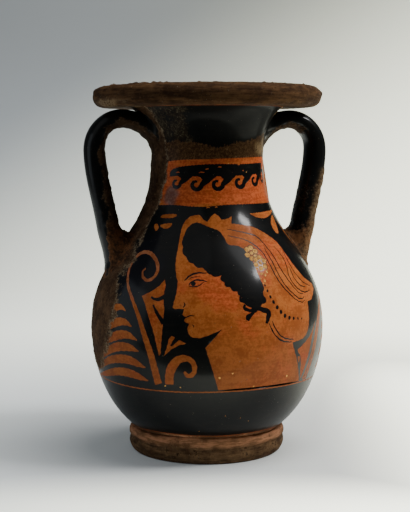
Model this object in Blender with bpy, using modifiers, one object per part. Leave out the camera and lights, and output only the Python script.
# A red-figure pelike: a two-handled storage jar, thrown and fired in one piece.
# Metres, +Z up. The origin is the centre of the foot's resting ring, the front
# of the jar faces -Y, and the two handles lie along X.
import math

import bmesh
import bpy
from mathutils import Vector

# Heights, stacked from the table up
FOOT_HEIGHT = 0.0130
BELLY_RISE = 0.0545  # foot joint to the widest ring of the belly
SHOULDER_RISE = 0.0500  # widest ring to the ring where the shoulder turns hollow
NECK_RISE = 0.0514  # that ring to the narrowest ring of the neck
MOUTH_RISE = 0.0199  # narrowest ring to the underside of the lip
LIP_THICKNESS = 0.0112

# Radii, to the outer surface
JOINT_RADIUS = 0.0395  # where the body sits on the foot
BELLY_RADIUS = 0.0644
SHOULDER_RADIUS = 0.0454
NECK_RADIUS = 0.0307
LIP_JOINT_RADIUS = 0.0415  # where the neck meets the underside of the lip
LIP_RADIUS = 0.0626
MOUTH_RADIUS = 0.0500  # inner edge of the lip's flat top

# Clay thickness
WALL = 0.0045
FLOOR = 0.0062

# Foot: a ring with a shallow groove round it and a hollow under it
FOOT_RADIUS = 0.0427
REST_RADIUS = 0.0407  # outer edge of the flat ring that the jar stands on
RING_WIDTH = 0.0085
RECESS_DEPTH = 0.0068
RECESS_DRAFT = 0.0020  # how far the hollow narrows on its way up
BULGE_HEIGHT = 0.0046
GROOVE_HEIGHT = 0.0078
GROOVE_DEPTH = 0.0007
GROOVE_WIDTH = 0.0016
UPPER_BULGE_INSET = 0.0006

# Handles: flat straps luted on below the lip and on the shoulder
HANDLE_REACH = 0.0679  # jar's axis to the outermost point of a handle
HANDLE_THICKNESS = 0.0114
HANDLE_WIDTH = 0.0182
ARCH_THICKNESS = 0.0099  # the strap thins where it turns over
LIP_GAP = 0.0012  # top of the arch to the underside of the lip
BEND_DROP = 0.0228  # underside of the lip to the outermost point
NECK_ROOT_THICKNESS = 0.0205
NECK_ROOT_WIDTH = 0.0250
NECK_ROOT_DROP = 0.0114  # underside of the lip to the middle of the root
SHOULDER_ROOT_THICKNESS = 0.0120
SHOULDER_ROOT_WIDTH = 0.0240
SHOULDER_ROOT_DROP = 0.0215  # shoulder ring down to the foot of the strap
NECK_ROOT_SINK = 0.0060  # how deep the strap's ends run into the clay
SHOULDER_ROOT_SINK = 0.0012
LOW_LEAN = 0.18  # lean of the strap's lower run, out per unit up
ROOT_TAIL = 0.0040  # how far the strap runs on below its foot, inside the wall

# Curves between the rings: direction out per unit up, and how full each curve is
JOINT_FLARE = 1.43
SHOULDER_FLARE = -0.69
LIP_JOINT_FLARE = 2.0
MOUTH_FLARE = 2.6
ARCH_LEADS = (0.55, 0.15, 0.60)  # how far the strap runs out, lifts and turns down
FALL_LEADS = (0.28, 0.40)
BODY_FULLNESS = ((0.459, 0.225), (0.413, 0.452), (0.461, 0.446), (0.22, 0.36))
MOUTH_FULLNESS = (0.39, 0.41)

# Mesh fineness
TURN_STEPS = 48
SPAN_POINTS = (9, 8, 8, 6)
LIP_POINTS = 9
FLOOR_POINTS = 5
HANDLE_SIDES = 16
HANDLE_POINTS = (8, 9)
STRAP_SQUARENESS = 0.80  # 1 is an ellipse, less is flatter
ROOT_BLENDS = (0.58, 0.82)  # where the roots end, as shares of the arch and the strap
CUT_MARGIN = 0.0010

JOINT_HEIGHT = FOOT_HEIGHT
BELLY_HEIGHT = JOINT_HEIGHT + BELLY_RISE
SHOULDER_HEIGHT = BELLY_HEIGHT + SHOULDER_RISE
NECK_HEIGHT = SHOULDER_HEIGHT + NECK_RISE
LIP_HEIGHT = NECK_HEIGHT + MOUTH_RISE
TOTAL_HEIGHT = LIP_HEIGHT + LIP_THICKNESS

CLAY_COLOUR = (0.47, 0.17, 0.06, 1.0)
CLAY_ROUGHNESS = 0.55


def bezier(start, lead, tail, end, count):
    """Points on one cubic curve, without its end."""
    points = []
    for i in range(count):
        t = i / count
        u = 1 - t
        points.append(
            start * u**3 + lead * 3 * t * u**2 + tail * 3 * t**2 * u + end * t**3
        )
    return points


def ring_stations():
    """The outer rings that the body's curve passes through, as (place, direction up)."""
    upright = Vector((0, 1))
    return [
        (Vector((JOINT_RADIUS, JOINT_HEIGHT)), Vector((JOINT_FLARE, 1)).normalized()),
        (Vector((BELLY_RADIUS, BELLY_HEIGHT)), upright),
        (
            Vector((SHOULDER_RADIUS, SHOULDER_HEIGHT)),
            Vector((SHOULDER_FLARE, 1)).normalized(),
        ),
        (Vector((NECK_RADIUS, NECK_HEIGHT)), upright),
        (
            Vector((LIP_JOINT_RADIUS, LIP_HEIGHT)),
            Vector((LIP_JOINT_FLARE, 1)).normalized(),
        ),
    ]


def body_spans():
    """The outer curve from the foot joint up to the lip, as one list of points a span."""
    rings = ring_stations()
    spans = []
    for i, (first, last) in enumerate(BODY_FULLNESS):
        (start, way_out), (end, way_in) = rings[i], rings[i + 1]
        rise = end.y - start.y
        spans.append(
            bezier(
                start,
                start + way_out * rise * first,
                end - way_in * rise * last,
                end,
                SPAN_POINTS[i],
            )
        )
    return spans


def set_in(points, depth):
    """The curve moved square to itself into the clay, which lies on its axis side."""
    moved = []
    for i, point in enumerate(points):
        before = points[max(i - 1, 0)]
        after = points[min(i + 1, len(points) - 1)]
        way = (after - before).normalized()
        moved.append(point + Vector((-way.y, way.x)) * depth)
    return moved


def foot_profile():
    """The foot's outer side from the joint down, its resting ring and the hollow."""
    upper = FOOT_RADIUS - UPPER_BULGE_INSET
    upper_height = (GROOVE_HEIGHT + GROOVE_WIDTH + FOOT_HEIGHT) / 2
    inner = REST_RADIUS - RING_WIDTH
    hollow = inner - RECESS_DRAFT
    return [
        Vector((upper - GROOVE_DEPTH, (upper_height + FOOT_HEIGHT) / 2)),
        Vector((upper, upper_height)),
        Vector((upper, GROOVE_HEIGHT + GROOVE_WIDTH / 2)),
        Vector((upper - GROOVE_DEPTH, GROOVE_HEIGHT)),
        Vector((FOOT_RADIUS, GROOVE_HEIGHT - GROOVE_WIDTH / 2)),
        Vector((FOOT_RADIUS, BULGE_HEIGHT)),
        Vector(((FOOT_RADIUS * 2 + REST_RADIUS) / 3, BULGE_HEIGHT / 3)),
        Vector((REST_RADIUS, 0)),
        Vector((inner, 0)),
        Vector((hollow, RECESS_DEPTH)),
        Vector((0, RECESS_DEPTH)),
    ]


def lip_profile():
    """The lip from the middle of its flat top round its half-round edge to its underside."""
    half = LIP_THICKNESS / 2
    centre = Vector((LIP_RADIUS - half, LIP_HEIGHT + half))
    points = [Vector((0, TOTAL_HEIGHT))]
    for i in range(LIP_POINTS):
        angle = math.pi / 2 - math.pi * i / (LIP_POINTS - 1)
        points.append(centre + Vector((math.cos(angle), math.sin(angle))) * half)
    return points


def outer_profile():
    """The whole outside from the top of the axis to the bottom of the axis."""
    body = [point for span in body_spans() for point in span]
    body.append(ring_stations()[-1][0])
    return lip_profile() + body[::-1] + foot_profile()


def mouth_curve():
    """The funnel inside the neck and lip, from the narrowest ring up to the lip's top."""
    start = Vector((NECK_RADIUS - WALL, NECK_HEIGHT))
    end = Vector((MOUTH_RADIUS, TOTAL_HEIGHT))
    way = Vector((MOUTH_FLARE, 1)).normalized()
    rise = end.y - start.y
    first, last = MOUTH_FULLNESS
    funnel = bezier(
        start,
        start + Vector((0, 1)) * rise * first,
        end - way * rise * last,
        end,
        SPAN_POINTS[3],
    )
    above = end + Vector((MOUTH_FLARE, 1)) * CUT_MARGIN
    return funnel + [end, above, Vector((0, above.y))]


def floor_curve(edge, way):
    """The dished floor from the axis out to the lower edge of the inner wall."""
    height = RECESS_DEPTH + FLOOR
    centre = Vector((0, height))
    drop = max(edge.y - height, 0)
    return bezier(
        centre,
        centre + Vector((edge.x / 2, 0)),
        edge - way * drop * 2,
        edge,
        FLOOR_POINTS,
    )


def cavity_profile():
    """The inside from above the mouth down to the middle of the floor."""
    outside = [point for span in body_spans()[:3] for point in span]
    outside.append(ring_stations()[3][0])
    wall = set_in(outside, WALL)
    floor = floor_curve(wall[0], (wall[1] - wall[0]).normalized())
    upwards = floor + wall[:-1] + mouth_curve()
    return upwards[::-1]


def turned(name, profile, collection):
    """A solid of revolution about Z from a profile that runs down its outer side."""
    mesh = bpy.data.meshes.new(name)
    mesh.from_pydata(
        [(p.x, 0, p.y) for p in profile], [(i, i + 1) for i in range(len(profile) - 1)], []
    )
    made = bpy.data.objects.new(name, mesh)
    collection.objects.link(made)
    screw = made.modifiers.new("Turn", "SCREW")
    screw.axis = "Z"
    screw.angle = 2 * math.pi
    screw.steps = TURN_STEPS
    screw.render_steps = TURN_STEPS
    screw.use_merge_vertices = True
    screw.merge_threshold = 0.00001
    screw.use_smooth_shade = True
    return made


def radius_at(height):
    """The body's outer radius at a height."""
    points = [point for span in body_spans() for point in span]
    for lower, upper in zip(points, points[1:]):
        if lower.y <= height <= upper.y:
            share = (height - lower.y) / (upper.y - lower.y)
            return lower.x + (upper.x - lower.x) * share
    return points[-1].x


def handle_path():
    """Middle line of one handle in the XZ plane, as points and directions of travel."""
    root_height = LIP_HEIGHT - NECK_ROOT_DROP
    top = Vector((radius_at(root_height) - NECK_ROOT_SINK, root_height))
    bend = Vector((HANDLE_REACH - HANDLE_THICKNESS / 2, LIP_HEIGHT - BEND_DROP))
    arch = LIP_HEIGHT - LIP_GAP - ARCH_THICKNESS / 2
    low_height = SHOULDER_HEIGHT - SHOULDER_ROOT_DROP
    cover = SHOULDER_ROOT_THICKNESS / 2 + SHOULDER_ROOT_SINK
    low = Vector((radius_at(low_height) - cover, low_height))
    tail = low - Vector((LOW_LEAN, 1)).normalized() * ROOT_TAIL
    run = bend.x - top.x
    lift = arch - top.y
    out, over_top, turn = ARCH_LEADS
    over = bezier(
        top,
        Vector((top.x + run * out, arch + lift * over_top)),
        Vector((bend.x, arch + lift * turn)),
        bend,
        HANDLE_POINTS[0],
    )
    fall = bend.y - low.y
    down = bezier(
        bend,
        Vector((bend.x, bend.y - fall * FALL_LEADS[0])),
        low + Vector((LOW_LEAN, 1)) * fall * FALL_LEADS[1],
        low,
        HANDLE_POINTS[1],
    )
    points = over + down + [low, tail]
    ways = []
    for i in range(len(points)):
        before = points[max(i - 1, 0)]
        after = points[min(i + 1, len(points) - 1)]
        ways.append((after - before).normalized())
    return points, ways


def eased(stops, share):
    """A size that changes smoothly along the handle, from stops of (share, size)."""
    for (s0, v0), (s1, v1) in zip(stops, stops[1:]):
        if share <= s1:
            t = (share - s0) / (s1 - s0)
            t = t * t * (3 - 2 * t)
            return v0 + (v1 - v0) * t
    return stops[-1][1]


def handle_sections():
    """Thickness and width of the strap at each point of its path."""
    bend_share = HANDLE_POINTS[0] / (sum(HANDLE_POINTS) + 1)
    thickness = [
        (0.0, NECK_ROOT_THICKNESS),
        (bend_share * ROOT_BLENDS[0], ARCH_THICKNESS),
        (bend_share, HANDLE_THICKNESS),
        (ROOT_BLENDS[1], HANDLE_THICKNESS),
        (1.0, SHOULDER_ROOT_THICKNESS),
    ]
    width = [
        (0.0, NECK_ROOT_WIDTH),
        (bend_share * ROOT_BLENDS[0], HANDLE_WIDTH),
        (ROOT_BLENDS[1], HANDLE_WIDTH),
        (1.0, SHOULDER_ROOT_WIDTH),
    ]
    return thickness, width


def strap_handle(name, collection):
    """Both handles as lofted straps: one built at +X, the other its mirror image."""
    points, ways = handle_path()
    thickness, width = handle_sections()
    bm = bmesh.new()
    rings = []
    for i, (point, way) in enumerate(zip(points, ways)):
        share = i / (len(points) - 1)
        half_thick = eased(thickness, share) / 2
        half_wide = eased(width, share) / 2
        out = Vector((-way.y, way.x))
        ring = []
        for k in range(HANDLE_SIDES):
            angle = 2 * math.pi * k / HANDLE_SIDES
            c, s = math.cos(angle), math.sin(angle)
            across = math.copysign(abs(c) ** STRAP_SQUARENESS, c) * half_thick
            along = math.copysign(abs(s) ** STRAP_SQUARENESS, s) * half_wide
            place = point + out * across
            ring.append(bm.verts.new((place.x, along, place.y)))
        rings.append(ring)
    for lower, upper in zip(rings, rings[1:]):
        for k in range(HANDLE_SIDES):
            j = (k + 1) % HANDLE_SIDES
            bm.faces.new((lower[k], lower[j], upper[j], upper[k]))
    bm.faces.new(rings[0])
    bm.faces.new(rings[-1])
    bmesh.ops.recalc_face_normals(bm, faces=bm.faces)
    mesh = bpy.data.meshes.new(name)
    bm.to_mesh(mesh)
    bm.free()
    made = bpy.data.objects.new(name, mesh)
    collection.objects.link(made)
    mirror = made.modifiers.new("Other handle", "MIRROR")
    mirror.use_axis = (True, False, False)
    mirror.use_mirror_merge = False
    return made


def as_helper(made):
    """Keeps an operand of a Boolean out of the finished part."""
    made.hide_render = True
    made.display_type = "WIRE"


def fired_clay():
    """Red-orange fired clay, the jar's own material."""
    material = bpy.data.materials.new("fired_clay")
    material.use_nodes = True
    shader = material.node_tree.nodes["Principled BSDF"]
    shader.inputs["Base Color"].default_value = CLAY_COLOUR
    shader.inputs["Roughness"].default_value = CLAY_ROUGHNESS
    shader.inputs["Metallic"].default_value = 0.0
    return material


def boolean(made, operation, other):
    """Adds one Boolean step to an object."""
    step = made.modifiers.new(operation.title(), "BOOLEAN")
    step.operation = operation
    step.solver = "EXACT"
    step.object = other


def build():
    for old in list(bpy.data.objects):
        bpy.data.objects.remove(old)
    scene = bpy.context.scene.collection
    parts = bpy.data.collections.new("pelike_parts")
    helpers = bpy.data.collections.new("pelike_helpers")
    scene.children.link(parts)
    scene.children.link(helpers)

    jar = turned("pelike", outer_profile(), parts)
    handles = strap_handle("handle_straps", helpers)
    cavity = turned("cavity", cavity_profile(), helpers)
    as_helper(handles)
    as_helper(cavity)
    boolean(jar, "UNION", handles)
    boolean(jar, "DIFFERENCE", cavity)
    jar.data.materials.append(fired_clay())


build()
